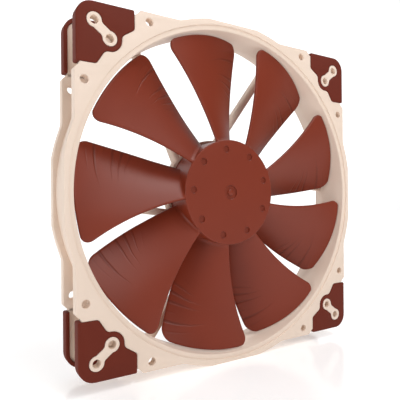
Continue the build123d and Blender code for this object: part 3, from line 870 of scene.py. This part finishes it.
# how far the rounded tip corners draw the edges in, and the angle that is left
TIP_CORNERS = [
    ("corner_start", "SUBTRACT", TIP, "Corner round"),
    ("in_corner", "SUBTRACT", "radius", "corner_start"),
    ("past", "MAXIMUM", "in_corner", 0.0),
    ("round_squared", "POWER", "Corner round", 2.0),
    ("past_squared", "POWER", "past", 2.0),
    ("gap_squared", "SUBTRACT", "round_squared", "past_squared"),
    ("gap_kept", "MAXIMUM", "gap_squared", 0.0),
    ("gap", "SQRT", "gap_kept"),
    ("drawn", "SUBTRACT", "Corner round", "gap"),
    ("drawn_turn", "DIVIDE", "drawn", "radius"),
    ("drawn_angle", "DEGREES", "drawn_turn"),
    ("drawn_twice", "MULTIPLY", "drawn_angle", 2.0),
    ("width_left", "SUBTRACT", "wide", "drawn_twice"),
    ("swing", "COSINE", "turn"),
    ("across", "MULTIPLY_ADD", "swing", -0.5, 0.5),
    ("first_edge", "SUBTRACT", "lead_angle", "drawn_angle"),
    ("gone", "MULTIPLY", "across", "width_left"),
    ("angle", "SUBTRACT", "first_edge", "gone"),
    ("from_lead", "SUBTRACT", "lead_angle", "angle"),
    ("fraction", "DIVIDE", "from_lead", "wide")]

# the middle of the plate: a straight line from edge to edge, bowed by the camber
CAMBER = [
    ("wide_turn", "RADIANS", "wide"),
    ("arc_length", "MULTIPLY", "wide_turn", "radius"),
    ("arc_squared", "POWER", "arc_length", 2.0),
    ("rise_squared", "POWER", "rise", 2.0),
    ("chord_squared", "ADD", "arc_squared", "rise_squared"),
    ("chord", "SQRT", "chord_squared"),
    ("fraction_left", "SUBTRACT", 1.0, "fraction"),
    ("hump", "MULTIPLY", "fraction", "fraction_left"),
    ("bow", "MULTIPLY", "hump", 4.0),
    ("bow_share", "MULTIPLY", "bow", "Camber"),
    ("fallen", "MULTIPLY", "fraction", "rise"),
    ("straight", "SUBTRACT", "lead_h", "fallen"),
    ("middle", "MULTIPLY_ADD", "bow_share", "chord", "straight")]

# half the thickness, more in the root fillet, run out to nothing round every edge
THICKNESS = [
    ("fillet_share", "DIVIDE", "past_hub", 1.6),
    ("to_hub", "SUBTRACT", 1.0, "fillet_share"),
    ("near_hub", "MAXIMUM", "to_hub", 0.0),
    ("near_hub_squared", "POWER", "near_hub", 2.0),
    ("fillet", "MULTIPLY", "Root fillet", "near_hub_squared"),
    ("fillet_kept", "MINIMUM", "fillet", "Root fillet"),
    ("half", "MULTIPLY_ADD", "Thickness", 0.5, "fillet_kept"),
    ("width_by_chord", "MULTIPLY", "width_left", "chord"),
    ("kept", "DIVIDE", "width_by_chord", "wide"),
    ("across_left", "SUBTRACT", 1.0, "across"),
    ("nearer_edge", "MINIMUM", "across", "across_left"),
    ("from_edge", "MULTIPLY", "kept", "nearer_edge"),
    ("from_tip", "SUBTRACT", TIP, "radius"),
    ("past_root", "SUBTRACT", "radius", ROOT),
    ("from_root", "MULTIPLY", "past_root", 6.0),
    ("from_end", "MINIMUM", "from_tip", "from_root"),
    ("near", "MINIMUM", "from_edge", "from_end"),
    ("near_share", "DIVIDE", "near", "half"),
    ("inside", "MINIMUM", "near_share", 1.0),
    ("far_side", "SUBTRACT", 2.0, "inside"),
    ("round_product", "MULTIPLY", "inside", "far_side"),
    ("round_kept", "MAXIMUM", "round_product", 0.0),
    ("round_off", "SQRT", "round_kept"),
    ("wave", "SINE", "turn"),
    ("side", "SIGN", "wave"),
    ("facing", "GREATER_THAN", "side", 0.0),
    ("plump", "MULTIPLY", "half", "round_off"),
    ("out", "MULTIPLY", "plump", "side")]

# the offset is laid along the section's normal, and the cylinder is unrolled into X, Y and Z
ON_THE_NORMAL = [
    ("fraction_twice", "MULTIPLY", "fraction", 2.0),
    ("lean", "SUBTRACT", 1.0, "fraction_twice"),
    ("lean_share", "MULTIPLY", "lean", "Camber"),
    ("bow_slope", "MULTIPLY", "lean_share", 4.0),
    ("stretch", "DIVIDE", "chord", "arc_length"),
    ("bow_steep", "MULTIPLY", "bow_slope", "stretch"),
    ("pitch", "DIVIDE", "rise", "arc_length"),
    ("steep", "SUBTRACT", "pitch", "bow_steep"),
    ("unit_squared", "MULTIPLY_ADD", "steep", "steep", 1.0),
    ("unit", "SQRT", "unit_squared"),
    ("out_steep", "MULTIPLY", "out", "steep"),
    ("sideways", "DIVIDE", "out_steep", "unit"),
    ("aside_turn", "DIVIDE", "sideways", "radius"),
    ("aside", "DEGREES", "aside_turn"),
    ("angle_here", "SUBTRACT", "angle", "aside"),
    ("theta", "RADIANS", "angle_here"),
    ("lift", "DIVIDE", "out", "unit"),
    ("height", "ADD", "middle", "lift"),
    ("cosine", "COSINE", "theta"),
    ("sine", "SINE", "theta"),
    ("run", "MULTIPLY", "radius", "cosine"),
    ("climb", "MULTIPLY", "radius", "sine"),
    ("place_X", "MULTIPLY", "run", MM),
    ("place_Y", "MULTIPLY", "height", -MM),
    ("place_Z", "MULTIPLY", "climb", MM),
    ("out_share", "DIVIDE", "radius", 100.0)]
BLADE_LAW = GRID_PLACE + EDGE_LAWS + TIP_CORNERS + CAMBER + THICKNESS + ON_THE_NORMAL
print("steps of the blade law", len(BLADE_LAW))

# %% [markdown]
# The tree itself is short: a flat grid, the law above, the attribute for the material, the move
# to the blade's skin and a weld along the seams. Nine copies then go round the hub.

# %% Blades
def blade_tree(material, rows=100, around=64):
    """Geometry Nodes tree that lays a grid on the blade's skin."""
    tree = bpy.data.node_groups.new("impeller_blade", "GeometryNodeTree")
    face = tree.interface
    face.new_socket("Geometry", in_out="INPUT", socket_type="NodeSocketGeometry")
    sizes = {"Thickness": 1.9, "Camber": 0.06, "Corner round": 6.4, "Root fillet": 0.7, "Root flare": 1.8}
    for name, value in sizes.items():
        face.new_socket(name, in_out="INPUT", socket_type="NodeSocketFloat").default_value = value
    face.new_socket("Geometry", in_out="OUTPUT", socket_type="NodeSocketGeometry")
    source = add(tree, "NodeGroupInput").outputs

    grid = add(tree, "GeometryNodeMeshGrid", {"Size X": 1.0, "Size Y": 1.0, "Vertices X": around + 1,
                                              "Vertices Y": rows + 1})
    flat = add(tree, "GeometryNodeInputPosition").outputs[0]
    spot = add(tree, "ShaderNodeSeparateXYZ", {0: flat}).outputs
    known = {name: source[name] for name in sizes}
    known.update(x=spot["X"], y=spot["Y"])
    work_out(tree, known, BLADE_LAW)
    place = add(tree, "ShaderNodeCombineXYZ", {axis: known["place_" + axis] for axis in "XYZ"})
    # the place on the blade is stored for the material while the grid is still flat
    skin = add(tree, "ShaderNodeCombineXYZ", {"X": known["fraction"], "Y": known["out_share"],
                                              "Z": known["facing"]})
    marked = add(tree, "GeometryNodeStoreNamedAttribute",
                 {"Geometry": grid.outputs["Mesh"], "Name": "blade_place", "Value": skin.outputs[0]},
                 data_type="FLOAT_VECTOR", domain="POINT")
    moved = add(tree, "GeometryNodeSetPosition",
                {"Geometry": marked.outputs[0], "Position": place.outputs[0]})
    closed = add(tree, "GeometryNodeMergeByDistance", {"Geometry": moved.outputs[0], "Distance": 0.00002})
    real = add(tree, "GeometryNodeRealizeInstances", {0: closed.outputs[0]})
    painted = add(tree, "GeometryNodeSetMaterial", {"Geometry": real.outputs[0], "Material": material})
    add(tree, "NodeGroupOutput", {0: painted.outputs[0]})
    return tree


blade = run_tree(bpy.data.meshes.new("seed"), blade_tree(brown), {})
blade_repeat, blade_inputs = repeat_tree("blades_round_the_hub", brown)
blades = run_tree(blade, blade_repeat, {blade_inputs["Count"]: BLADES,
                                        blade_inputs["First angle"]: -math.radians(FIRST_BLADE)})
print("blade faces", len(blade.polygons), "all", len(blades.polygons))

# %% [markdown]
# A large flat face takes the tilt of the small rounds at its rim if every face counts the same.
# Here the normals are weighted by face area, so flats stay flat and only the rounds bend light.

# %% Normals by face area
def flat_shaded_faces(mesh):
    """The same mesh with its corner normals weighted by the size of the faces round them."""
    obj = bpy.data.objects.new("weighted", mesh)
    scene.collection.objects.link(obj)
    modifier = obj.modifiers.new("weighted", "WEIGHTED_NORMAL")
    modifier.weight = 90
    modifier.keep_sharp = True
    graph = bpy.context.evaluated_depsgraph_get()
    result = bpy.data.meshes.new_from_object(obj.evaluated_get(graph))
    bpy.data.objects.remove(obj)
    return result


# %% [markdown]
# The hub is a turned cup with nine small dimples, where balancing putty can go, and a wider
# central one with the gate's nub left standing. The cutters flare at the top, so each dimple
# gets a soft rim.

# %% Hub
DIMPLE_RADIUS = 2.1
DIMPLE_DEPTH = 0.9
DIMPLE_CIRCLE = 26.2
FIRST_DIMPLE = 17.0
CENTRE_RADIUS = 4.35
NUB_RADIUS = 1.9


def hub_profile():
    """Half section of the hub cup, open towards the back."""
    skirt, inner = HUB_SKIRT, HUB - 2.0
    rim = arc(0.6, 0, 90, (HUB - 0.6, HUB_FACE - 0.6), 4)
    under = HUB_FACE - 1.8
    return [(0, HUB_FACE), (0, under), (inner, under), (inner, skirt), (HUB, skirt)] + rim


def dimple_profile(radius, depth, nub=0.0):
    """Cutter for one dimple: a cylinder whose top flares out by a quarter round."""
    flare = arc(0.2, 180, 90, (radius + 0.2, -0.2), 4)
    shape = [(nub, -depth), (radius - 0.15, -depth), (radius, -depth + 0.12)] + flare
    shape = shape + [(radius + 0.2, 0.6), (0, 0.6)]
    if nub:
        shape += [(0, -0.05), (nub - 0.3, -0.05), (nub, -0.25)]
    return shape


def moved(mesh, x, h, z):
    """The mesh shifted by millimetres: right, out of the intake side and up."""
    mesh.transform(Matrix.Translation((x * MM, -h * MM, z * MM)))
    return mesh


hub = tidy_mesh(turned(hub_profile(), 224))
one_dimple = moved(turned(dimple_profile(DIMPLE_RADIUS, DIMPLE_DEPTH), 40), DIMPLE_CIRCLE, HUB_FACE, 0)
dimple_repeat, dimple_inputs = repeat_tree("dimples_round_the_face", brown)
dimples = run_tree(one_dimple, dimple_repeat, {dimple_inputs["Count"]: BLADES,
                                               dimple_inputs["First angle"]: -math.radians(FIRST_DIMPLE)})
centre = moved(turned(dimple_profile(CENTRE_RADIUS, DIMPLE_DEPTH, NUB_RADIUS), 64), 0, HUB_FACE, 0)
hub = boolean(hub, joined([dimples, centre]))
impeller_mesh = flat_shaded_faces(tidy_mesh(joined([blades, hub]), 38, brown))
piece("impeller_moulding", impeller_mesh, "rotor", "impeller")

# %% [markdown]
# The fan stands on a smooth white board that glows a little, like a light table, so the board
# stays white and the shadow on it pale. A key lamp high on the right and one in front put a soft
# sheen on the blades, and a low one reaches the left side.

# %% Floor and lamps
FLOOR_HALF = 3.0
FLOOR_GAP = 0.0002


def floor_board(half, height, material):
    """A square board at a height, facing up."""
    mesh = bpy.data.meshes.new("floor")
    signs = ((-1, -1), (1, -1), (1, 1), (-1, 1))
    mesh.from_pydata([(half * x, half * y, height) for x, y in signs], [], [(0, 1, 2, 3)])
    mesh.materials.append(material)
    obj = bpy.data.objects.new("floor", mesh)
    scene.collection.objects.link(obj)
    return obj


floor_paint = start_material("white_studio_board", Base_Color=(0.9, 0.9, 0.9, 1), Roughness=0.14,
                             Emission_Color=(1, 1, 1, 1), Emission_Strength=0.34)[0]
floor = floor_board(FLOOR_HALF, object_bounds()[0][2] - FLOOR_GAP, floor_paint)


def area_light(name, position, size, watts):
    """A square softbox that points at the middle of the fan."""
    light = bpy.data.lights.new(name, "AREA")
    light.shape = "SQUARE"
    light.size = size
    light.energy = watts
    obj = bpy.data.objects.new(name, light)
    turn = (-Vector(position)).to_track_quat("-Z", "Y").to_matrix().to_4x4()
    obj.matrix_world = Matrix.Translation(position) @ turn
    scene.collection.objects.link(obj)


area_light("key_softbox", (0.3, -0.42, 0.82), 0.45, 4.5)
area_light("front_softbox", (0.15, -0.84, 0.5), 0.5, 2.9)
area_light("fill_softbox", (-0.95, -0.25, 0.15), 0.5, 3.2)
print("lamps", len(bpy.data.lights))

# %% [markdown]
# The room is a white sweep behind and above the fan and a dimmer studio on the camera's side,
# so that front faces keep their deep colour and surfaces seen edge on catch a pale sheen.

# %% World
def studio_world(front, back):
    """Bright behind and above, dim in front; the camera itself sees plain white."""
    world = bpy.data.worlds.new("studio")
    world.use_nodes = True
    tree = world.node_tree
    shine = tree.nodes["Background"]
    direction = add(tree, "ShaderNodeTexCoord").outputs["Generated"]
    facing = add(tree, "ShaderNodeVectorMath", {0: direction, 1: (0.1, 0.98, 0.15)},
                 operation="DOT_PRODUCT").outputs["Value"]
    level = add(tree, "ShaderNodeMapRange", {"Value": facing, "From Min": 0.25, "From Max": 0.75,
                                             "To Min": front, "To Max": back}).outputs["Result"]
    seen = add(tree, "ShaderNodeLightPath").outputs["Is Camera Ray"]
    strength = add(tree, "ShaderNodeMath", {0: level, 1: seen}, operation="MAXIMUM").outputs[0]
    shine.inputs["Color"].default_value = (1, 1, 1, 1)
    tree.links.new(strength, shine.inputs["Strength"])
    return world


scene.world = studio_world(0.09, 1.3)
scene.view_settings.view_transform = "Standard"
print("world ready")
